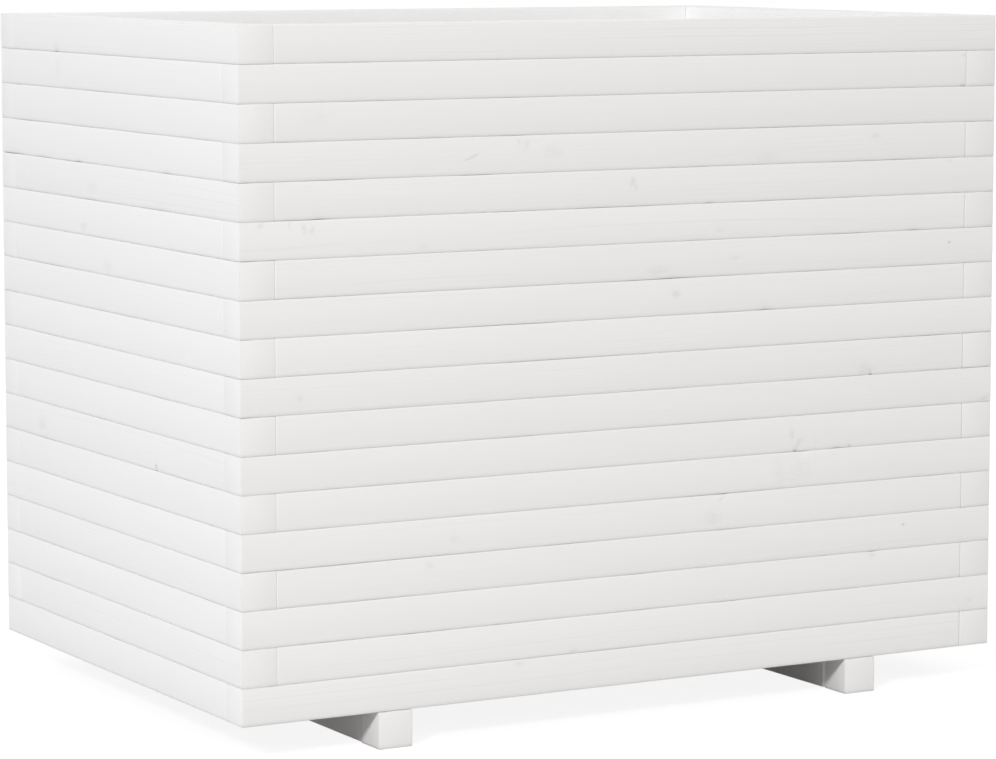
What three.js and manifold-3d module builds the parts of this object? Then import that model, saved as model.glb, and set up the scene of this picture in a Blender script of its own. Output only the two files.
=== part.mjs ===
// A rectangular planter box of white-painted square pine battens, stacked log-cabin fashion
// on two low runner feet. Millimetres, +Z up, +X along the front; the origin is on the ground
// under the middle of the box, and the front wall looks towards -Y.
import * as THREE from "three";
import { mergeVertices } from "three/addons/utils/BufferGeometryUtils.js";
import Module from "manifold-3d";

// ---- driving dimensions ----
const boxLength = 900; // outside, along X
const boxWidth = 600; // outside, along Y
const battenThickness = 38; // wall thickness: one batten
const courseHeight = 38; // height of one course of battens
const coursePairs = 9; // each wall is this many glued pairs, so 18 courses
const arris = 0.8; // rounding of a batten's long edges
const rimArris = 1.6; // rounding of the edges along the rim
const endArris = 0.6; // easing of the sawn ends

const footWidth = 38; // along X
const footHeight = 38; // ground to the underside of the walls
const footInset = 150; // end of the box to the outer side of a foot
const leftRailShift = 0; // how far a foot's middle rail stands in from its end blocks
const rightRailShift = 2.3;
const railLift = 1; // the middle rails clear the ground by this much

const slatWidth = 95;
const slatThickness = 18;
const drainGap = 8; // least gap beside a floor slat
const slatEndClearance = 2; // floor slat to the end wall

const postSize = 38; // square posts in the inside corners
const postDrop = 38; // rim to the top of a post
const postArris = 1.6;

const seatGap = 0.3; // between pieces that bear on each other
const buttGap = 0.3; // between a sawn end and what it butts against
const weldReach = 1e-4; // corners this close are one corner

// ---- sizes that follow ----
const innerLength = boxLength - 2 * battenThickness;
const innerWidth = boxWidth - 2 * battenThickness;
const wallBase = footHeight;
const rimHeight = wallBase + 2 * coursePairs * courseHeight;
const floorTop = wallBase + slatThickness;

// ---- materials ----
const paintedPine = { color: 0xebebe9, roughness: 0.62, metalness: 0 };
const floorPine = { color: 0xe4e2dc, roughness: 0.7, metalness: 0 };

const wasm = await Module();
wasm.setup();

// A closed three.js geometry as a solid that can be joined to another.
function toSolid(geometry) {
  const bare = geometry.clone();
  bare.deleteAttribute("normal");
  bare.deleteAttribute("uv");
  const merged = mergeVertices(bare, weldReach);
  return new wasm.Manifold(
    new wasm.Mesh({
      numProp: 3,
      vertProperties: new Float32Array(merged.attributes.position.array),
      triVerts: new Uint32Array(merged.index.array),
    }),
  );
}

function toGeometry(solid) {
  const mesh = solid.getMesh();
  const geometry = new THREE.BufferGeometry();
  geometry.setAttribute("position", new THREE.BufferAttribute(mesh.vertProperties, mesh.numProp));
  geometry.setIndex(new THREE.BufferAttribute(mesh.triVerts, 1));
  const flat = geometry.toNonIndexed();
  flat.computeVertexNormals();
  return flat;
}

// A rectangle from (0, 0) whose lower corners are rounded off to one radius and whose upper
// corners to another.
function easedRectangle(width, height, low, high) {
  const shape = new THREE.Shape();
  shape.moveTo(low, 0);
  shape.lineTo(width - low, 0);
  shape.absarc(width - low, low, low, -Math.PI / 2, 0);
  shape.lineTo(width, height - high);
  shape.absarc(width - high, height - high, high, 0, Math.PI / 2);
  shape.lineTo(high, height);
  shape.absarc(high, height - high, high, Math.PI / 2, Math.PI);
  shape.lineTo(0, low);
  shape.absarc(low, low, low, Math.PI, Math.PI * 1.5);
  return shape;
}

// A planed bar along +X from x0 to x1: its section fills y 0..width and z 0..height.
function planedBar(x0, x1, width, height, lowArris = arris, highArris = lowArris) {
  const section = easedRectangle(width, height, lowArris, highArris);
  const geometry = new THREE.ExtrudeGeometry(section, {
    depth: x1 - x0 - 2 * endArris,
    curveSegments: 1,
    bevelEnabled: true,
    bevelThickness: endArris,
    bevelSize: endArris,
    bevelOffset: -endArris,
    bevelSegments: 1,
  });
  // The extrusion runs along +Z with the section in XY: turn it to run along +X.
  const turn = new THREE.Matrix4().makeBasis(
    new THREE.Vector3(0, 1, 0),
    new THREE.Vector3(0, 0, 1),
    new THREE.Vector3(1, 0, 0),
  );
  return geometry.applyMatrix4(turn).translate(x0 + endArris, 0, 0);
}

function addPiece(group, name, geometry, finish) {
  const mesh = new THREE.Mesh(geometry, new THREE.MeshStandardMaterial(finish));
  mesh.name = name;
  group.add(mesh);
  return mesh;
}

// Two battens of one wall, glued one on the other, along +X from the wall's first corner.
// The lower one starts flush with that corner and butts at the far one; the upper one butts
// first and ends flush, so that the courses lock at every corner.
function battenPair(wallLength, topArris) {
  const shortfall = battenThickness + buttGap;
  const upperHeight = courseHeight - seatGap;
  const lower = planedBar(0, wallLength - shortfall, battenThickness, courseHeight);
  const upper = planedBar(shortfall, wallLength, battenThickness, upperHeight, arris, topArris);
  upper.translate(0, 0, courseHeight);
  return toGeometry(toSolid(lower).add(toSolid(upper)));
}

// The four walls, anticlockwise from the front left corner, each in a frame of its own whose
// +X runs along the wall and whose +Y points into the box.
function walls() {
  const group = new THREE.Group();
  const sides = [
    { name: "front", length: boxLength, corner: [-boxLength / 2, -boxWidth / 2], turns: 0 },
    { name: "right", length: boxWidth, corner: [boxLength / 2, -boxWidth / 2], turns: 1 },
    { name: "back", length: boxLength, corner: [boxLength / 2, boxWidth / 2], turns: 2 },
    { name: "left", length: boxWidth, corner: [-boxLength / 2, boxWidth / 2], turns: 3 },
  ];
  for (const side of sides) {
    const wall = new THREE.Group();
    wall.position.set(side.corner[0], side.corner[1], wallBase);
    wall.rotation.z = (side.turns * Math.PI) / 2;
    const pair = battenPair(side.length, arris);
    const rimPair = battenPair(side.length, rimArris);
    for (let level = 0; level < coursePairs; level++) {
      const geometry = level === coursePairs - 1 ? rimPair : pair.clone();
      // Courses are numbered from the rim down.
      const upperCourse = 2 * (coursePairs - level) - 1;
      const label = [upperCourse, upperCourse + 1].map((n) => String(n).padStart(2, "0")).join("_");
      const mesh = addPiece(wall, `${side.name}_battens_${label}`, geometry, paintedPine);
      mesh.position.z = level * 2 * courseHeight;
    }
    group.add(wall);
  }
  return group;
}

// One foot: a block under the front wall, a block under the back wall and a rail between them.
function foot(sideName, outerX, inward, railShift) {
  const group = new THREE.Group();
  const blockHeight = footHeight - seatGap;
  const lowX = Math.min(outerX, outerX + inward * footWidth);
  // Bars run along +X: turned a quarter, they run along +Y and lie on the low-X side.
  const alongY = (x, y0, y1, z, height, name) => {
    const bar = planedBar(0, y1 - y0, footWidth, height);
    const mesh = addPiece(group, name, bar, paintedPine);
    mesh.rotation.z = Math.PI / 2;
    mesh.position.set(x + footWidth, y0, z);
  };
  const outsideY = boxWidth / 2;
  const insideY = innerWidth / 2;
  alongY(lowX, -outsideY, -insideY, 0, blockHeight, `${sideName}_front_foot_block`);
  alongY(lowX, insideY, outsideY, 0, blockHeight, `${sideName}_back_foot_block`);
  const railX = lowX + inward * railShift;
  alongY(
    railX,
    -insideY + buttGap,
    insideY - buttGap,
    railLift,
    blockHeight - railLift,
    `${sideName}_foot_rail`,
  );
  return group;
}

// Floor slats along X, resting on the two foot rails, with drain gaps between them.
function floorSlats() {
  const group = new THREE.Group();
  const count = Math.floor((innerWidth - drainGap) / (slatWidth + drainGap));
  const gap = (innerWidth - count * slatWidth) / (count + 1);
  const halfLength = innerLength / 2 - slatEndClearance;
  for (let i = 0; i < count; i++) {
    const slat = planedBar(-halfLength, halfLength, slatWidth, slatThickness);
    const mesh = addPiece(group, `floor_slat_${i + 1}`, slat, floorPine);
    mesh.position.set(0, -innerWidth / 2 + gap + i * (slatWidth + gap), wallBase);
  }
  return group;
}

// Square posts in the inside corners, standing on the floor and ending below the rim.
function cornerPosts() {
  const group = new THREE.Group();
  const base = floorTop + seatGap;
  const height = rimHeight - postDrop - base;
  const upright = new THREE.Matrix4().makeRotationY(-Math.PI / 2);
  for (const [rowName, sy] of [["front", -1], ["back", 1]]) {
    for (const [columnName, sx] of [["left", -1], ["right", 1]]) {
      const post = planedBar(0, height, postSize, postSize, postArris);
      post.applyMatrix4(upright).translate(postSize / 2, -postSize / 2, 0);
      const mesh = addPiece(group, `${rowName}_${columnName}_corner_post`, post, floorPine);
      mesh.position.set(
        sx * (innerLength / 2 - seatGap - postSize / 2),
        sy * (innerWidth / 2 - seatGap - postSize / 2),
        base,
      );
    }
  }
  return group;
}

const planter = new THREE.Group();
planter.name = "batten_planter";
planter.add(walls());
planter.add(foot("left", -boxLength / 2 + footInset, 1, leftRailShift));
planter.add(foot("right", boxLength / 2 - footInset, -1, rightRailShift));
planter.add(floorSlats());
planter.add(cornerPosts());

export default planter;
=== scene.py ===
# A rectangular planter of white-painted pine battens, stacked log-cabin fashion on two low
# runner feet: every batten, foot, floor slat and corner post as a planed, painted bar.
import math

import bpy
import numpy as np
from mathutils import Matrix, Vector


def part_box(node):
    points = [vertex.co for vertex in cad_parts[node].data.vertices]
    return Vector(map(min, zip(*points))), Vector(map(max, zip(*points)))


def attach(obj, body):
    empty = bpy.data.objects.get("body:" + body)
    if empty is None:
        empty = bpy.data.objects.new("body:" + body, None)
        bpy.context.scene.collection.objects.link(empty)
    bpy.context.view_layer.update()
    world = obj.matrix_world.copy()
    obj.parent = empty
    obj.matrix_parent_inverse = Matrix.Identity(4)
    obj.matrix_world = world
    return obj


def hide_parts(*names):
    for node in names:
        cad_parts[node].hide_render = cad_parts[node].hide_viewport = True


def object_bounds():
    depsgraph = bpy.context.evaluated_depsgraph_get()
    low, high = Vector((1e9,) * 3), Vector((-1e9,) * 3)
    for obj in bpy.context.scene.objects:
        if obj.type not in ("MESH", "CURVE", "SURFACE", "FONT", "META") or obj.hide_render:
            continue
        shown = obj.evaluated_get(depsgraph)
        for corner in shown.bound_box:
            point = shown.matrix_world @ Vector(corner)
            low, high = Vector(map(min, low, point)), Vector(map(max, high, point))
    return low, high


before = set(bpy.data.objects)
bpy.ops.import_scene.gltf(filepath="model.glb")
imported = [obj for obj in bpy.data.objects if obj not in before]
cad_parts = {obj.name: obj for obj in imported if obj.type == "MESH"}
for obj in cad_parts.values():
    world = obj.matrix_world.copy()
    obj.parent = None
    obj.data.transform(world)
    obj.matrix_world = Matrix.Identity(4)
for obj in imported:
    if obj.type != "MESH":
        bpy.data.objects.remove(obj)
cad_low, cad_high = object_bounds()

MM = 0.001

# ---- sizes read from the frame ----
top_pair_low, top_pair_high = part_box("front_battens_01_02")
second_pair_low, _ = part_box("front_battens_03_04")
bottom_pair_low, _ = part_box("front_battens_17_18")
THICKNESS = top_pair_high.y - top_pair_low.y
COURSE = (top_pair_low.z - second_pair_low.z) / 2
WALL_BASE = bottom_pair_low.z
COURSES = round((cad_high.z - WALL_BASE) / COURSE)
BUTT_GAP = 0.05 * MM  # between a sawn end and the batten that it butts against
SEAM = 0.04 * MM  # between one course and the next
RIM_GAP = 0.3 * MM  # the frame's top battens end this much below the full courses
BODY = "root"

# ---- how the planed bars are drawn ----
ARC_STEPS = 4  # segments in each rounded arris
FACE_SHARES = (0.03, 0.12, 0.3, 0.5, 0.7, 0.88, 0.97)  # points across a wide face
BED_SHARES = (0.03, 0.25, 0.5, 0.75, 0.97)  # points across the top and the underside
CAP_SHARES = (0.2, 0.5, 0.8, 0.94)  # rings in a sawn end, as shares of its size
END_STEPS = 3  # segments in the easing of a sawn end
STATION = 15 * MM  # from one ring to the next along a bar
HOLD = 1.2 * MM  # from an eased end to the next ring, which keeps the easing short
LEAST_STATION = 0.4 * MM  # a ring closer than this to the last one is left out
NICK_RINGS = 13  # across each nick
NICK_SPAN = 2.2  # how far they reach on each side of its middle, in its half-lengths


class BarLook:
    """How one kind of bar was planed: the radius of its lower and its upper arrises, the crown
    of its side faces, and of each sawn end (easing, dome), in metres."""

    def __init__(self, low_arris, top_arris, crown, near_end, far_end):
        self.low_arris = low_arris
        self.top_arris = top_arris
        self.crown = crown
        self.near_end = near_end
        self.far_end = far_end


TIGHT_ARRIS = 0.45 * MM  # where one batten lies on the next
RIM_ARRIS = 1.3 * MM  # sanded round along the rim
FACE_CROWN = 0.2 * MM
SHOWN_END = (0.15 * MM, 0.1 * MM)  # easing and dome of an end that is left in sight
BUTTED_END = (0.8 * MM, 0.0)  # and of one that butts against another batten
FOOT_END = (0.3 * MM, 0.05 * MM)
INSIDE_END = (0.6 * MM, 0.1 * MM)
FOOT = BarLook(0.9 * MM, 0.6 * MM, FACE_CROWN, FOOT_END, FOOT_END)
INSIDE_BAR = BarLook(1.2 * MM, 1.2 * MM, FACE_CROWN, INSIDE_END, INSIDE_END)

ARRIS_DRIFT = 0.3  # how far an arris radius wanders, as a share of it
ARRIS_LENGTH = 70 * MM  # and over what length
BOW = ((0.09, 260), (0.02, 60))  # how far the side faces wander, over what lengths, in mm
INNER_SHARE = 0.25  # how much of that the inner face does, which the neighbours butt against
OPEN_SEAM = 0.28 * MM  # the most that a seam opens where the battens don't quite touch
OPEN_LENGTH = 75 * MM  # over what length it opens and closes
OPEN_ABOVE = 0.25  # how high a drift of -1..1 has to run to open it
EVER_OPEN = 0.06  # how far it is open everywhere, as a share of the most


def drift(rng, reach, wavelength, at):
    """A smooth random curve within -reach..reach, read at the positions at (from 0 up)."""
    count = int(at[-1] / wavelength) + 3
    values = rng.uniform(-reach, reach, count)
    place = at / wavelength
    low = place.astype(int)
    t = place - low
    t = t * t * (3 - 2 * t)
    return values[low] * (1 - t) + values[low + 1] * t


def stations_along(length, nicks):
    """Where the rings of a bar stand along it, closer together at each nick."""
    count = max(2, round(length / STATION))
    places = list(np.linspace(0, length, count + 1)) + [HOLD, length - HOLD]
    for nick in nicks:
        reach = NICK_SPAN * nick.length
        places += [nick.along + reach * s for s in np.linspace(-1, 1, NICK_RINGS)]
    places = sorted(p for p in places if 0 <= p <= length)
    kept = [places[0]]
    for place in places[1:]:
        if place - kept[-1] > LEAST_STATION:
            kept.append(place)
    kept[-1] = length
    return np.array(kept)


def section_rings(width, height, radii):
    """One ring of (y, z) points for each row of four arris radii, going round from the outer
    lower arris. Also gives each point the radius of the arris that it lies on, in mm."""
    corners = ((0, 0), (width, 0), (width, height), (0, height))
    points = []
    arrises = []
    arcs = []
    for i, (y, z) in enumerate(corners):
        r = radii[:, i]
        cy = np.abs(y - r)
        cz = np.abs(z - r)
        angles = np.radians(180 + 90 * i) + np.linspace(0, math.pi / 2, ARC_STEPS + 1)
        ring = [(cy + r * math.cos(a), cz + r * math.sin(a)) for a in angles]
        arcs.append(ring)
    for i in range(4):
        points += arcs[i]
        arrises += [radii[:, i].mean() / MM] * len(arcs[i])
        start, end = arcs[i][-1], arcs[(i + 1) % 4][0]
        for share in BED_SHARES if i % 2 == 0 else FACE_SHARES:
            points.append(tuple(a + (b - a) * share for a, b in zip(start, end)))
            arrises.append(0.0)
    stacked = np.array(points).transpose(2, 0, 1)
    return stacked, np.array(arrises)


NICK_REACH = 2.0 * MM  # across the arris


class Nick:
    """A small chip in the outer arris of a bar, at its top or its bottom edge."""

    def __init__(self, along, at_top, length, depth):
        self.along = along
        self.at_top = at_top
        self.length = length
        self.depth = depth


def sawn_end(section, width, height, end):
    """The rings of a domed, eased end, from its middle out to the bar's full section, and how
    far from the end of the bar each of their points lies."""
    ease, dome = end
    middle = np.array((width / 2, height / 2))
    easing = np.linspace(0, math.pi / 2, END_STEPS + 1)
    steps = [(share, 0) for share in CAP_SHARES] + [(1, angle) for angle in easing]
    rings = []
    depths = []
    for share, angle in steps:
        inset = ease * (1 - math.sin(angle))
        factor = 1 - 2 * inset / np.array((width, height))
        ring = middle + (section - middle) * share * factor
        offset = (ring - middle) / middle
        rings.append(ring)
        depths.append(dome * (offset**2).sum(axis=1) + ease * (1 - math.cos(angle)))
    return np.array(rings), np.array(depths)


def shape_bar(rng, size, look, nicks):
    """The rings of a planed bar along +X whose box is size, its two end points and the arris
    radius at each ring point. Everything stays inside the box."""
    length, width, height = size
    start = max(ease + 2 * dome for ease, dome in (look.near_end, look.far_end))
    inner = stations_along(length - 2 * start, nicks)
    radii = np.empty((len(inner), 4))
    for i in range(4):
        arris = look.low_arris if i < 2 else look.top_arris
        radii[:, i] = arris * (1 + drift(rng, ARRIS_DRIFT, ARRIS_LENGTH, inner))
    body, arrises = section_rings(width, height, radii)
    near, near_depth = sawn_end(body[0], width, height, look.near_end)
    far, far_depth = sawn_end(body[-1], width, height, look.far_end)
    between = np.outer(start + inner[1:-1], np.ones(len(arrises)))
    along = np.concatenate((near_depth, between, length - far_depth[::-1]))
    points = np.dstack((along, np.concatenate((near, body[1:-1], far[::-1]))))
    bend_bar(rng, points, size, look, nicks)
    ends = np.array(((0, width / 2, height / 2), (length, width / 2, height / 2)))
    return points, ends, arrises


def open_seam(rng, along):
    """How far one edge of a bar stays clear of its neighbour: mostly tight, open in places."""
    above = np.maximum(0, drift(rng, 1, OPEN_LENGTH, along) - OPEN_ABOVE)
    share = above / (1 - OPEN_ABOVE)
    return OPEN_SEAM * (EVER_OPEN + share**2)[:, None]


def bend_bar(rng, points, size, look, nicks):
    """Crowns the side faces and lets the faces wander a little along the bar, always inwards."""
    _, width, height = size
    along = np.maximum.accumulate(points[:, :, 0].mean(axis=1))
    y = points[:, :, 1].copy()
    z = points[:, :, 2].copy()
    over = y / width
    up = z / height
    side = look.crown * (2 * up - 1) ** 2
    for reach, wavelength in BOW:
        wave = drift(rng, reach * MM, wavelength * MM, along) + reach * MM
        side = side + wave[:, None]
    points[:, :, 1] += side * (1 - (1 + INNER_SHARE) * over)
    points[:, :, 2] += open_seam(rng, along) * (1 - up)
    points[:, :, 2] -= open_seam(rng, along) * up
    for nick in nicks:
        edge = height if nick.at_top else 0
        near = ((points[:, :, 0] - nick.along) / nick.length) ** 2
        near = near + ((z - edge) ** 2 + y**2) / NICK_REACH**2
        dent = nick.depth * np.exp(-near)
        points[:, :, 1] += dent
        points[:, :, 2] += -dent if nick.at_top else dent


def skin(name, points, ends):
    """A closed mesh over rings of points, with a fan of triangles at each end."""
    ring_count, around, _ = points.shape
    vertices = np.vstack((points.reshape(-1, 3), ends))
    first, last = ring_count * around, ring_count * around + 1
    faces = []
    for i in range(ring_count - 1):
        low, high = i * around, (i + 1) * around
        for k in range(around):
            n = (k + 1) % around
            faces.append((low + k, low + n, high + n, high + k))
    tail = (ring_count - 1) * around
    for k in range(around):
        n = (k + 1) % around
        faces.append((first, n, k))
        faces.append((last, tail + k, tail + n))
    mesh = bpy.data.meshes.new(name)
    mesh.from_pydata(vertices.tolist(), [], faces)
    mesh.shade_smooth()
    return mesh


def store(mesh, name, kind, values):
    """Keeps a value for every vertex under a name that the materials read."""
    attribute = mesh.attributes.new(name, kind, "POINT")
    field = "vector" if kind == "FLOAT_VECTOR" else "value"
    attribute.data.foreach_set(field, np.ascontiguousarray(values, np.float32).ravel())


class Knot:
    """A knot through a bar from face to face: how far along and how high its middle is, its
    radius, how strongly the grain swirls round it, how dark its heart is, how many times
    longer than high it is and how far it leans, in degrees."""

    def __init__(self, along, height, radius, swirl, dark, stretch=1.3, lean=0.0):
        self.along = along
        self.height = height
        self.radius = radius
        self.swirl = swirl
        self.dark = dark
        self.stretch = stretch
        self.lean = math.radians(lean)


FAR_OFF = 50.0  # the place, in knot radii, of a point that has no knot near it
KNOT_REACH = 3.2  # how far out from its middle a knot is kept, in its radii
KNOT_MARGIN = 1.1 * STATION  # and beyond that, so that a ring on each side has it too


def store_knots(mesh, name, vertices, knots):
    """Each vertex's place relative to the nearest of these knots, in knot radii, with the
    swirl's strength, and apart from that the darkness. Both are nothing far from any knot."""
    place = np.full((len(vertices), 3), FAR_OFF)
    place[:, 2] = 0
    dark = np.zeros(len(vertices))
    if knots:
        x, z = vertices[:, 0], vertices[:, 2]
        gaps = np.array([np.abs(x - k.along) for k in knots])
        nearest = gaps.argmin(axis=0)
        for i, knot in enumerate(knots):
            mine = nearest == i
            reach = KNOT_REACH * knot.radius * knot.stretch + KNOT_MARGIN
            close = mine & (gaps[i] < reach)
            dx, dz = x[mine] - knot.along, z[mine] - knot.height
            cos, sin = math.cos(knot.lean), math.sin(knot.lean)
            place[mine, 0] = (cos * dx + sin * dz) / (knot.radius * knot.stretch)
            place[mine, 1] = (cos * dz - sin * dx) / knot.radius
            place[close, 2] = knot.swirl
            dark[close] = knot.dark
    store(mesh, "knot_" + name, "FLOAT_VECTOR", place)
    store(mesh, "dark_" + name, "FLOAT", dark)


# Where the pith of the tree lay from a bar's corner: across it, and below or above it, in mm.
PITH_ACROSS = (-60, 100)
PITH_BELOW = (-70, -15)
TREE_LENGTH = 40  # metres of tree that the bars are cut from


def dress_bar(rng, mesh, size, arrises, ring_count, knots, figure):
    """The vertex values that the wood's material reads: where each point lay in the tree,
    whether it is on a sawn end, its place in the bar's section, the arrises, the knots, how
    plainly the grain shows and how light the bar is."""
    count = len(mesh.vertices)
    co = np.empty(count * 3, np.float32)
    mesh.vertices.foreach_get("co", co)
    co = co.reshape(-1, 3)
    pith = np.array((0, rng.uniform(*PITH_ACROSS) * MM, rng.uniform(*PITH_BELOW) * MM))
    if rng.random() < 0.5:
        pith[2] = THICKNESS - pith[2]
    length_in_tree = rng.uniform(0, TREE_LENGTH)
    store(mesh, "grain", "FLOAT_VECTOR", co - pith + (length_in_tree, 0, 0))
    section = co / (np.array(size) / 2) - 1
    sawn = np.zeros(ring_count)
    sawn[: len(CAP_SHARES) + 1] = 1
    sawn[-len(CAP_SHARES) - 1 :] = 1
    section[:, 0] = np.append(np.repeat(sawn, len(arrises)), (1, 1))
    store(mesh, "section", "FLOAT_VECTOR", section)
    arris = np.append(np.outer(1 - sawn, arrises), (0, 0))
    store(mesh, "arris", "FLOAT", arris)
    store(mesh, "figure", "FLOAT", np.full(count, figure))
    store(mesh, "tone", "FLOAT", np.full(count, rng.uniform(-1, 1)))
    ordered = sorted(knots, key=lambda k: k.along)
    store_knots(mesh, "a", co, ordered[0::2])
    store_knots(mesh, "b", co, ordered[1::2])


def make_bar(name, size, look, seed, place, material, nodes, knots, nicks, figure):
    """A bar of this size along +X, put in its place and standing for its CAD nodes."""
    rng = np.random.default_rng(seed)
    points, ends, arrises = shape_bar(rng, size, look, nicks)
    mesh = skin(name, points, ends)
    dress_bar(rng, mesh, size, arrises, len(points), knots, figure)
    mesh.transform(place)
    mesh.materials.append(material)
    piece = bpy.data.objects.new(name, mesh)
    bpy.context.scene.collection.objects.link(piece)
    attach(piece, BODY)
    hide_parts(*nodes)


# ---- materials ----
class Graph:
    """Adds shader nodes to a material and links them, one call for each node."""

    def __init__(self, tree):
        self.tree = tree
        self.tree.nodes.clear()

    def add(self, kind, inputs=None, **settings):
        node = self.tree.nodes.new(kind)
        for key, value in settings.items():
            setattr(node, key, value)
        for key, value in (inputs or {}).items():
            if isinstance(value, bpy.types.NodeSocket):
                self.tree.links.new(value, node.inputs[key])
            else:
                node.inputs[key].default_value = value
        return node

    def math(self, operation, *values):
        inputs = dict(enumerate(values))
        return self.add("ShaderNodeMath", inputs, operation=operation).outputs[0]

    def attribute(self, name):
        return self.add("ShaderNodeAttribute", attribute_name=name)

    def split(self, vector):
        return self.add("ShaderNodeSeparateXYZ", {0: vector}).outputs

    def stretch(self, vector, scale):
        node = self.add("ShaderNodeVectorMath", {0: vector, 1: scale}, operation="MULTIPLY")
        return node.outputs[0]

    def noise(self, vector, scale, detail=2.0, roughness=0.5):
        inputs = {"Vector": vector, "Scale": scale, "Detail": detail, "Roughness": roughness}
        return self.add("ShaderNodeTexNoise", inputs).outputs[0]

    def ramp(self, value, low, high, to_low=0.0, to_high=1.0):
        inputs = {0: value, 1: low, 2: high, 3: to_low, 4: to_high}
        node = self.add("ShaderNodeMapRange", inputs, interpolation_type="SMOOTHSTEP")
        return node.outputs[0]

    def sum(self, *values):
        total = values[0]
        for value in values[1:]:
            total = self.math("ADD", total, value)
        return total

    def times(self, *values):
        product = values[0]
        for value in values[1:]:
            product = self.math("MULTIPLY", product, value)
        return product

    def blend(self, share, low, high):
        """low where share is 0 and high where it is 1."""
        return self.math("MULTIPLY_ADD", self.math("SUBTRACT", high, low), share, low)


RING_SPACING = 3.6 * MM
RING_WANDER = 9 * MM  # how far a growth ring wanders either way
KNOT_RING = 0.42  # rings inside a knot, in knot radii

# How much darker than clean paint each thing makes it, as a share of its light.
FIBRE = 0.03
PATCH = -0.03
SMUDGE = 0.035  # the stain round a knot
OUTLINE = 0.035  # the broken line round a knot
HEART = 0.2  # the middle of the darkest knot
WEAR = 0.04  # chipped arrises
ARRIS_SHADE = 0.075  # painted shade dimming the highlight on the widest arrises, mostly the rim's
PAINTED_INSIDE_LIGHT = -0.028  # painted light on the faces inside the box, for light bounced there
VEIL_WARMTH = 0.2  # how much warmer as well, as shares of the same
BLEED_WARMTH = 0.1
GREEN_WARMTH = 0.4  # how much of that green loses against blue

ROUGHNESS = 0.56
CHALK_ROUGH = 0.1  # how much duller each thing makes the paint
WEAR_ROUGH = 0.6
RING_ROUGH = 0.04
SPECULAR = 0.3

# How high each thing stands in the paint, in mm.
SHEEN_CROWN = 0.75  # the middle of a face
SHEEN_DOME = 0.8  # the middle of a sawn end
LIP = 0.42  # what falls away over the lowest tenth of a face
RING_RELIEF = -0.04
FIBRE_RELIEF = 0.02
MOTTLE_RELIEF = 0.02
CHALK_RELIEF = 0.006
SWIRL_RELIEF = 0.3
OUTLINE_RELIEF = -0.16
HEART_RELIEF = -0.3
WEAR_RELIEF = -0.8  # for each unit of wear


def knot_terms(g, name, crumple, ragged, broken):
    """Round one set of knots: how far out in radii, the swirl of the grain, the broken outline
    of the knot and its ragged dark heart."""
    x, z, swirl = g.split(g.attribute("knot_" + name).outputs["Vector"])
    dark = g.attribute("dark_" + name).outputs["Fac"]
    out = g.math("SQRT", g.sum(g.times(x, x), g.times(z, z)))
    out = g.sum(out, g.math("MULTIPLY_ADD", crumple, 1.1, -0.55))
    near = g.times(g.ramp(out, 0.9, 3.0, 1.0, 0.0), swirl)
    smudge = g.times(g.ramp(out, 0.2, 1.9, 1.0, 0.0), swirl)
    line = g.times(g.ramp(out, 0.6, 0.95), g.ramp(out, 0.95, 1.35, 1.0, 0.0))
    outline = g.times(line, broken, swirl)
    torn = g.sum(out, g.math("MULTIPLY_ADD", ragged, 0.9, -0.45))
    heart = g.times(g.ramp(torn, 0.3, 0.9, 1.0, 0.0), dark)
    return out, near, smudge, outline, heart


def wood_rings(g, grain, knots):
    """(0..1 across each growth ring, how plain that ring is): the rings bend round the knots."""
    _, y, z = g.split(grain)
    wander = g.noise(g.stretch(grain, (1.6, 9.0, 9.0)), 1.0, 2.0)
    radius = g.math("SQRT", g.sum(g.times(y, y), g.times(z, z)))
    radius = g.sum(radius, g.math("MULTIPLY_ADD", wander, 2 * RING_WANDER, -RING_WANDER))
    phase = g.math("DIVIDE", radius, RING_SPACING)
    for out, near, *_ in knots:
        phase = g.blend(near, phase, g.math("DIVIDE", out, KNOT_RING))
    chance = g.add("ShaderNodeTexWhiteNoise", {"W": g.math("FLOOR", phase)}, noise_dimensions="1D")
    return g.math("FRACT", phase), g.ramp(chance.outputs["Value"], 0.2, 0.9, 0.15, 1.0)


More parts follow.
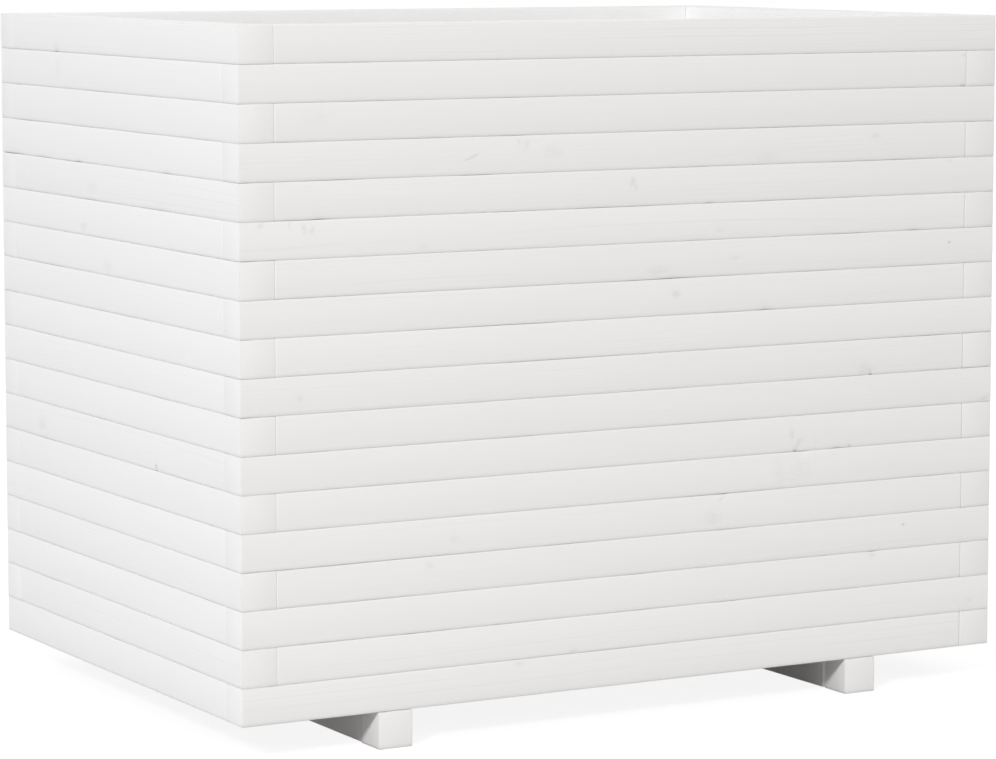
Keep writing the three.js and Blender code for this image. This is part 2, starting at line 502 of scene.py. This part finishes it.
class Wood:
    """What the vertex values and the noises give at each point of the wood, as sockets."""

    def __init__(self, g):
        grain = g.attribute("grain").outputs["Vector"]
        section = g.attribute("section").outputs["Vector"]
        self.at_end, self.over, self.up = g.split(section)
        self.arris = g.attribute("arris").outputs["Fac"]
        self.tone = g.attribute("tone").outputs["Fac"]
        self.mottle = g.noise(g.stretch(grain, (60.0, 190.0, 190.0)), 1.0, 3.0)
        self.streak = g.noise(g.stretch(grain, (9.0, 700.0, 700.0)), 1.0, 3.0, 0.6)
        self.cloud = g.noise(g.stretch(grain, (5.0, 30.0, 30.0)), 1.0, 2.0)
        self.chalk = g.noise(grain, 900.0, 2.0)
        chips = g.noise(g.stretch(grain, (55.0, 200.0, 200.0)), 1.0, 3.0)
        self.worn = g.times(g.ramp(self.arris, 0.0, 0.5), g.ramp(chips, 0.56, 0.72), WEAR)
        self.add_knots(g, grain)

    def add_knots(self, g, grain):
        """The knots, the late wood of the rings that bend round them, and where it shows."""
        crumple = g.noise(g.stretch(grain, (150.0, 300.0, 300.0)), 1.0, 2.0)
        ragged = g.noise(grain, 650.0, 1.0)
        broken = g.ramp(self.mottle, 0.42, 0.6)
        knots = [knot_terms(g, side, crumple, ragged, broken) for side in "ab"]
        strongest = [g.math("MAXIMUM", *pair) for pair in list(zip(*knots))[1:]]
        self.near, self.smudge, self.outline, self.heart = strongest
        ring, plain = wood_rings(g, grain, knots)
        self.late = g.times(g.ramp(ring, 0.45, 0.92), g.ramp(ring, 0.93, 1.0, 1.0, 0.0), plain)
        figure = g.times(g.attribute("figure").outputs["Fac"], g.ramp(self.cloud, 0.3, 0.7))
        shown = g.math("MAXIMUM", figure, g.times(self.near, 0.8))
        self.shown = g.times(shown, g.math("MULTIPLY_ADD", self.at_end, -0.7, 1.0))


def paint_colour(g, wood, colour, grain_share, tone_share):
    """The paint's colour with everything that darkens or warms it, painted shade and light too."""
    veil = g.times(wood.late, wood.shown, grain_share)
    fibre = g.times(g.math("SUBTRACT", wood.streak, 0.5), FIBRE)
    patch = g.times(g.math("SUBTRACT", wood.cloud, 0.5), PATCH)
    bleed = g.sum(
        g.times(wood.smudge, wood.mottle, SMUDGE),
        g.times(wood.outline, OUTLINE),
        g.times(wood.heart, HEART),
    )
    # painted shade on the widest rounded arrises, mostly along the rim, which dims their highlight
    arris_shade = g.ramp(wood.arris, 1.0, 1.2, 0.0, ARRIS_SHADE)
    # painted light: the faces inside the box are made lighter, standing in for light bounced
    # inside it
    painted_inside_light = g.ramp(wood.over, 0.92, 0.98, 0.0, PAINTED_INSIDE_LIGHT)
    stain = g.times(wood.tone, tone_share)
    shade = g.sum(veil, fibre, patch, bleed, wood.worn, arris_shade, painted_inside_light, stain)
    light = g.math("SUBTRACT", 1.0, shade)
    warmth = g.sum(g.times(bleed, BLEED_WARMTH), g.times(veil, VEIL_WARMTH))
    return g.add("ShaderNodeCombineColor", {
        0: g.times(light, colour[0]),
        1: g.times(g.math("SUBTRACT", light, g.times(warmth, GREEN_WARMTH)), colour[1]),
        2: g.times(g.math("SUBTRACT", light, warmth), colour[2]),
    }).outputs[0]


def paint_relief(g, wood):
    """The height of the paint's surface in mm."""
    lip = g.math("MAXIMUM", g.math("MULTIPLY_ADD", wood.up, -5.0, -4.0), 0.0)
    return g.sum(
        g.times(wood.up, wood.up, -SHEEN_CROWN),
        g.times(lip, lip, -LIP),
        g.times(wood.over, wood.over, wood.at_end, -SHEEN_DOME),
        g.times(wood.late, wood.shown, RING_RELIEF),
        g.times(wood.streak, FIBRE_RELIEF),
        g.times(wood.mottle, MOTTLE_RELIEF),
        g.times(wood.chalk, CHALK_RELIEF),
        g.times(wood.near, g.math("SUBTRACT", wood.mottle, 0.5), SWIRL_RELIEF),
        g.times(wood.outline, OUTLINE_RELIEF),
        g.times(wood.heart, HEART_RELIEF),
        g.times(wood.worn, WEAR_RELIEF),
    )


def painted_wood(name, colour, grain_share, tone_share):
    """White paint over pine: the rings, the fibre and the knots just show through it."""
    material = bpy.data.materials.new(name)
    material.use_nodes = True
    g = Graph(material.node_tree)
    wood = Wood(g)
    relief = paint_relief(g, wood)
    bump = g.add("ShaderNodeBump", {"Strength": 1.0, "Distance": MM, "Height": relief})
    chalky = g.times(wood.chalk, CHALK_ROUGH)
    dull = g.sum(ROUGHNESS, chalky, g.times(wood.worn, WEAR_ROUGH), g.times(wood.late, RING_ROUGH))
    shader = g.add("ShaderNodeBsdfPrincipled", {
        "Base Color": paint_colour(g, wood, colour, grain_share, tone_share),
        "Roughness": dull,
        "Specular IOR Level": SPECULAR,
        "Normal": bump.outputs[0],
    })
    output = g.add("ShaderNodeOutputMaterial")
    g.tree.links.new(shader.outputs[0], output.inputs["Surface"])
    return material


WALL_WHITE = (0.862, 0.859, 0.853)
FLOOR_WHITE = (0.845, 0.838, 0.825)
wall_paint = painted_wood("white_painted_pine", WALL_WHITE, grain_share=0.045, tone_share=0.009)
floor_paint = painted_wood(
    "white_painted_floor_pine", FLOOR_WHITE, grain_share=0.06, tone_share=0.015
)


# ---- the four walls ----
# Knots seen on the wood: course from the rim, place along the wall from its middle, height
# in the course, radius (all mm), swirl and darkness as shares, and for some how many times
# longer than high and how far it leans (degrees).
FRONT_KNOTS = (
    (2, 409, 33, 3.0, 0.3, 0.4),
    (3, -366, 25, 8.0, 0.5, 0.05),
    (4, -194, 17, 1.9, 0.3, 0.5, 7.0, 22),
    (4, -130, 29, 7.0, 0.5, 0.24, 0.5, -8),
    (4, -99, 20, 7.0, 0.6, 0.15),
    (4, 158, 7, 7.0, 0.5, 0.1, 1.8),
    (4, 294, 26, 4.0, 0.6, 0.35, 1.6),
    (5, -6, 26, 7.0, 0.4, 0.42, 0.5, -22),
    (5, -2, 20, 4.5, 0.4, 0.3, 0.8, 20),
    (5, 392, 35, 3.0, 0.4, 0.15),
    (6, -427, 34, 3.0, 0.6, 0.4),
    (6, -380, 30, 6.5, 0.6, 0.36, 0.6, 12),
    (6, -371, 29, 6.5, 0.6, 0.3, 0.55, -28),
    (6, -249, 5, 4.0, 0.5, 0.1),
    (6, 99, 10, 3.0, 0.5, 0.22, 2.2),
    (7, 24, 9, 4.0, 0.8, 0.15, 2.8),
    (7, 120, 18, 2.5, 0.5, 0.15, 3.2),
    (7, 393, 23, 2.2, 0.5, 1.0, 1.2),
    (8, 47, 22, 5.0, 0.6, 0.38, 1.2),
    (10, -386, 16, 4.0, 0.5, 0.25),
    (10, 283, 7, 6.5, 0.7, 0.22, 1.9, -20),
    (11, 441, 4, 3.0, 0.6, 0.4, 3.0, 20),
    (12, 192, 19, 10.0, 0.5, 0.3, 0.34, 8),
    (12, 200, 9, 8.0, 0.5, 0.34, 0.5, -28),
    (12, 265, 1, 3.0, 0.4, 0.6),
    (13, 176, 16, 14.0, 0.5, 0.08, 0.45, 8),
    (13, 201, 15, 13.0, 0.55, 0.08, 0.9, -8),
    (14, 93, 14, 7.0, 0.6, 0.16, 1.5),
    (14, 104, 33, 2.4, 0.3, 0.35, 3.6, 40),
    (14, -214, 16, 4.0, 0.5, 0.2),
    (15, -242, 29, 4.0, 0.5, 0.2),
    (15, 336, 25, 2.2, 0.5, 0.9),
    (16, 296, 34, 4.0, 0.7, 0.3),
    (17, -75, 2, 4.0, 0.6, 0.3),
    (17, 425, 12, 4.0, 0.6, 0.3),
    (18, -139, 34, 4.0, 0.6, 0.3),
)
LEFT_KNOTS = (
    (1, 145, 5, 6.0, 0.5, 0.14),
    (2, 142, 19, 9.0, 0.5, 0.08, 0.8),
    (5, 54, 14, 6.0, 0.6, 0.12, 1.8),
    (6, 78, 9, 6.0, 0.6, 0.2, 1.6),
    (7, 16, 10, 7.0, 0.6, 0.12, 1.5),
    (12, -101, 5, 3.0, 0.6, 0.9),
    (12, 197, 14, 8.0, 0.8, 0.2),
)
# Chips and open stretches along the arrises: course, place along the wall, which edge,
# half-length and depth (mm).
FRONT_NICKS = (
    (2, 409, "low", 4.0, 0.7),
    (5, -361, "low", 9.0, 0.5),
    (5, -55, "low", 24.0, 0.25),
    (5, 88, "low", 6.0, 0.4),
    (6, 346, "low", 8.0, 0.5),
    (7, 42, "low", 16.0, 0.4),
    (8, 157, "low", 9.0, 0.5),
    (10, 292, "low", 2.0, 0.8),
    (12, 197, "low", 3.0, 0.9),
    (12, 250, "low", 7.0, 0.6),
    (13, 206, "top", 6.0, 0.5),
    (14, 105, "top", 8.0, 0.6),
    (16, 296, "top", 6.0, 0.5),
)
LEFT_NICKS = (
    (1, 145, "low", 7.0, 0.7),
    (4, -130, "low", 8.0, 0.5),
    (4, 89, "low", 6.0, 0.6),
    (4, 185, "low", 16.0, 0.4),
    (4, 262, "low", 26.0, 0.5),
    (5, 60, "low", 20.0, 0.3),
    (5, -110, "low", 30.0, 0.3),
    (12, -101, "low", 3.0, 0.8),
)


class Wall:
    """One side of the box: where its first corner is, how long it is, how many quarter turns
    its direction makes from +X, and what is seen on its wood."""

    def __init__(self, name, corner, length, turns, knots=(), nicks=()):
        self.name = name
        self.corner = corner
        self.length = length
        self.turns = turns
        self.knots = knots
        self.nicks = nicks

    def along(self, from_middle):
        """A place in millimetres from the wall's middle, counted along +X or +Y, as metres
        from the wall's first corner."""
        sense = 1 if self.turns < 2 else -1
        return self.length / 2 + sense * from_middle * MM

    def place(self, start, base):
        """Puts a bar along +X this far from the wall's first corner and this high up."""
        corner = Matrix.Translation((self.corner[0], self.corner[1], base))
        turn = Matrix.Rotation(self.turns * math.pi / 2, 4, "Z")
        return corner @ turn @ Matrix.Translation((start, 0, 0))

    def knots_on(self, course, start):
        """The knots seen on one batten, which starts this far from the first corner."""
        return [
            Knot(self.along(at) - start, up * MM, radius * MM, *looks)
            for row, at, up, radius, *looks in self.knots
            if row == course
        ]

    def nicks_on(self, course, start):
        """The chips seen on it."""
        return [
            Nick(self.along(at) - start, edge == "top", half * MM, depth * MM)
            for row, at, edge, half, depth in self.nicks
            if row == course
        ]


# What the knots on wood that nothing shows are drawn from: lengths in mm, the rest in shares.
FIRST_KNOT = (30, 320)
LAST_KNOT = 20  # from the far end at least
KNOT_SPACING = (160, 680)
KNOT_RADIUS = (2.5, 8)
KNOT_HEIGHT = (3, 35)
KNOT_SWIRL = (0.3, 0.9)
KNOT_STRETCH = (1, 2.2)
KNOT_PALE = 0.05
KNOT_DARKER = 0.55  # at most, on top of that


def scattered_knots(rng, length):
    """Knots for a bar that nothing shows."""
    knots = []
    place = rng.uniform(*FIRST_KNOT) * MM
    while place < length - LAST_KNOT * MM:
        radius = rng.uniform(*KNOT_RADIUS) * MM
        height = rng.uniform(*KNOT_HEIGHT) * MM
        dark = KNOT_PALE + KNOT_DARKER * rng.random() ** 3
        swirl = rng.uniform(*KNOT_SWIRL)
        stretch = rng.uniform(*KNOT_STRETCH)
        knots.append(Knot(place, height, radius, swirl, dark, stretch))
        place += rng.uniform(*KNOT_SPACING) * MM
    return knots


FIGURES = (0.15, 1.0)  # how plainly the grain shows, from batten to batten


def batten(wall, course, seed):
    """One batten of a wall. Odd courses, counted from the rim, butt at the wall's first corner
    and end flush at its far one; even courses do the reverse."""
    rng = np.random.default_rng(seed)
    odd = course % 2 == 1
    at_rim = course == 1
    shortfall = THICKNESS + BUTT_GAP
    start = shortfall if odd else 0.0
    length = wall.length - shortfall
    height = COURSE - (RIM_GAP if at_rim else SEAM)
    base = WALL_BASE + (COURSES - course) * COURSE
    knots = wall.knots_on(course, start) if wall.knots else scattered_knots(rng, length)
    top_arris = RIM_ARRIS if at_rim else TIGHT_ARRIS
    ends = (BUTTED_END, SHOWN_END) if odd else (SHOWN_END, BUTTED_END)
    upper = course if odd else course - 1
    make_bar(
        f"{wall.name}_batten_{course:02d}",
        (length, THICKNESS, height),
        BarLook(TIGHT_ARRIS, top_arris, FACE_CROWN, *ends),
        seed,
        wall.place(start, base),
        wall_paint,
        [f"{wall.name}_battens_{upper:02d}_{upper + 1:02d}"],
        knots,
        wall.nicks_on(course, start),
        rng.uniform(*FIGURES),
    )


# Seeds: a hundred for each wall and one more for each course, and one for each other bar.
WALL_SEEDS = 100
FOOT_SEEDS = 701
INSIDE_SEEDS = 800
KNOT_SEEDS = 5000  # added for the knots of those other bars


def build_walls():
    long_side = cad_high.x - cad_low.x
    short_side = cad_high.y - cad_low.y
    walls = (
        Wall("front", (cad_low.x, cad_low.y), long_side, 0, FRONT_KNOTS, FRONT_NICKS),
        Wall("right", (cad_high.x, cad_low.y), short_side, 1),
        Wall("back", (cad_high.x, cad_high.y), long_side, 2),
        Wall("left", (cad_low.x, cad_high.y), short_side, 3, LEFT_KNOTS, LEFT_NICKS),
    )
    for number, wall in enumerate(walls, 1):
        for course in range(1, COURSES + 1):
            batten(wall, course, number * WALL_SEEDS + course)


# ---- feet, floor and posts: one bar in the box of each CAD node ----
FOOT_PARTS = ("front_foot_block", "back_foot_block", "foot_rail")
OTHER_FIGURE = 0.6  # how plainly the grain shows on them


def bar_in_box(node, axis, look, seed, material):
    """A bar that fills a CAD node's box and runs along +X, +Y or +Z."""
    low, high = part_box(node)
    size = high - low
    if axis == "X":
        bar_size = (size.x, size.y, size.z)
        place = Matrix.Translation(low)
    elif axis == "Y":
        bar_size = (size.y, size.x, size.z)
        turn = Matrix.Rotation(math.pi / 2, 4, "Z")
        place = Matrix.Translation((high.x, low.y, low.z)) @ turn
    else:
        bar_size = (size.z, size.y, size.x)
        turn = Matrix.Rotation(-math.pi / 2, 4, "Y")
        place = Matrix.Translation((high.x, low.y, low.z)) @ turn
    rng = np.random.default_rng(seed + KNOT_SEEDS)
    knots = scattered_knots(rng, bar_size[0])
    name = node if node not in bpy.data.objects else node + "_painted"
    make_bar(name, bar_size, look, seed, place, material, [node], knots, (), OTHER_FIGURE)


def build_feet():
    nodes = [f"{side}_{part}" for side in ("left", "right") for part in FOOT_PARTS]
    for seed, node in enumerate(nodes, FOOT_SEEDS):
        bar_in_box(node, "Y", FOOT, seed, wall_paint)


def build_floor_and_posts():
    for seed, node in enumerate(sorted(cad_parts), INSIDE_SEEDS):
        if node.startswith("floor_slat"):
            bar_in_box(node, "X", INSIDE_BAR, seed, floor_paint)
        if node.endswith("corner_post"):
            bar_in_box(node, "Z", INSIDE_BAR, seed, floor_paint)


# ---- the studio ----
FLOOR_SIZE = 60.0
KEY_TRAVEL = Vector((1.0, 0.84, -0.70))  # the way the key light shines
KEY_DISTANCE = 10.0
KEY_SIZE = 1.4
KEY_POWER = 555.0
KEY_COLOUR = (1.0, 0.995, 1.0)
AMBIENT = 0.736
COOL = (0.937, 0.947, 1.0)  # the room's light from -X
WARM = (0.985, 0.971, 0.922)  # and from +X
WHITE = (1.0, 1.0, 1.0, 1.0)

# The floor as the planter is lit by it.
FLOOR_BOUNCE = (0.33, 0.32, 0.305)  # its colour far from the planter
FLOOR_NEAR_LIGHT = 0.2  # painted light: how much lighter it is close by
NEAR_END, FAR_START = 0.8, 3.5  # where that starts to fade and where it is gone, in metres
FLOOR_UNDER_SHADE = (0.36, 0.385, 0.40)  # painted shade: how much darker than that it is underneath
UNDER_END, OPEN_START = 0.94, 1.04  # where that fades, in the planter's half-sizes

# And as the camera sees it.
FLOOR_GLOW = 0.88
FLOOR_PALE = 0.2

CAMERA_AZIMUTH = 29.4788
CAMERA_PITCH = 5.8914
CAMERA_PLACE = (-2.01769, -3.57966, 0.81268)
CAMERA_LENS = 136.614
CAMERA_SHIFT_Y = -0.06
SENSOR_WIDTH = 36.0
CAMERA_CLIP = (0.1, 100.0)


def seen_directly(g):
    """1 for a ray that shows the background itself, in the picture or through gloss."""
    path = g.add("ShaderNodeLightPath").outputs
    shown = g.math("MAXIMUM", path["Is Camera Ray"], path["Is Glossy Ray"])
    return g.math("MAXIMUM", shown, path["Is Transmission Ray"])


def floor_material():
    """A floor that lights the planter with painted light and shade, and looks nearly white itself.
    """
    material = bpy.data.materials.new("studio_floor")
    material.use_nodes = True
    g = Graph(material.node_tree)
    place = g.add("ShaderNodeNewGeometry").outputs["Position"]
    away = g.add("ShaderNodeVectorMath", {0: place}, operation="LENGTH").outputs["Value"]
    # painted light: the floor's bounce colour lighter close to the planter
    near = g.ramp(away, NEAR_END, FAR_START, FLOOR_NEAR_LIGHT, 0.0)
    x, y, _ = g.split(g.stretch(place, (1 / cad_high.x, 1 / cad_high.y, 0)))
    reach = g.math("MAXIMUM", g.math("ABSOLUTE", x), g.math("ABSOLUTE", y))
    # painted shade: the floor's bounce colour darker under the planter
    under = g.ramp(reach, UNDER_END, OPEN_START, -1.0, 0.0)
    colour = [g.sum(near, far, g.times(under, low)) for far, low in zip(FLOOR_BOUNCE, FLOOR_UNDER_SHADE)]
    colour = g.add("ShaderNodeCombineColor", dict(enumerate(colour))).outputs[0]
    bounce = g.add("ShaderNodeBsdfDiffuse", {"Color": colour}).outputs[0]
    glow = g.add("ShaderNodeEmission", {"Color": WHITE, "Strength": FLOOR_GLOW}).outputs[0]
    pale = g.add("ShaderNodeBsdfDiffuse", {"Color": (FLOOR_PALE,) * 3 + (1.0,)}).outputs[0]
    seen = g.add("ShaderNodeAddShader", {0: glow, 1: pale}).outputs[0]
    mix = g.add("ShaderNodeMixShader", {0: seen_directly(g), 1: bounce, 2: seen})
    output = g.add("ShaderNodeOutputMaterial")
    g.tree.links.new(mix.outputs[0], output.inputs["Surface"])
    return material


def add_floor():
    half = FLOOR_SIZE / 2
    mesh = bpy.data.meshes.new("studio_floor")
    corners = [(-half, -half, 0), (half, -half, 0), (half, half, 0), (-half, half, 0)]
    mesh.from_pydata(corners, [], [(0, 1, 2, 3)])
    mesh.materials.append(floor_material())
    floor = bpy.data.objects.new("studio_floor", mesh)
    bpy.context.scene.collection.objects.link(floor)


def add_world():
    world = bpy.data.worlds.new("studio")
    world.use_nodes = True
    bpy.context.scene.world = world
    g = Graph(world.node_tree)
    x, _, _ = g.split(g.add("ShaderNodeTexCoord").outputs["Generated"])
    share = g.math("MULTIPLY_ADD", x, 0.5, 0.5)
    tint = [g.math("MULTIPLY_ADD", share, b - a, a) for a, b in zip(COOL, WARM)]
    tint = g.add("ShaderNodeCombineColor", dict(enumerate(tint))).outputs[0]
    ambient = g.add("ShaderNodeBackground", {"Color": tint, "Strength": AMBIENT}).outputs[0]
    white = g.add("ShaderNodeBackground", {"Color": WHITE, "Strength": 1.0}).outputs[0]
    mix = g.add("ShaderNodeMixShader", {0: seen_directly(g), 1: ambient, 2: white})
    output = g.add("ShaderNodeOutputWorld")
    g.tree.links.new(mix.outputs[0], output.inputs["Surface"])


def add_key_light():
    travel = KEY_TRAVEL.normalized()
    light = bpy.data.lights.new("key", "AREA")
    light.shape = "DISK"
    light.size = KEY_SIZE
    light.energy = KEY_POWER
    light.color = KEY_COLOUR
    lamp = bpy.data.objects.new("key", light)
    lamp.location = (cad_low + cad_high) / 2 - travel * KEY_DISTANCE
    lamp.rotation_euler = travel.to_track_quat("-Z", "Y").to_euler()
    bpy.context.scene.collection.objects.link(lamp)


def add_camera():
    data = bpy.data.cameras.new("camera")
    data.sensor_fit = "HORIZONTAL"
    data.sensor_width = SENSOR_WIDTH
    data.lens = CAMERA_LENS
    data.shift_y = CAMERA_SHIFT_Y
    data.clip_start, data.clip_end = CAMERA_CLIP
    camera = bpy.data.objects.new("camera", data)
    camera.location = CAMERA_PLACE
    pitch = math.radians(90 - CAMERA_PITCH)
    camera.rotation_euler = (pitch, 0, -math.radians(CAMERA_AZIMUTH))
    bpy.context.scene.collection.objects.link(camera)
    bpy.context.scene.camera = camera


build_walls()
build_feet()
build_floor_and_posts()
add_floor()
add_world()
add_key_light()
add_camera()
bpy.context.scene.view_settings.view_transform = "Standard"
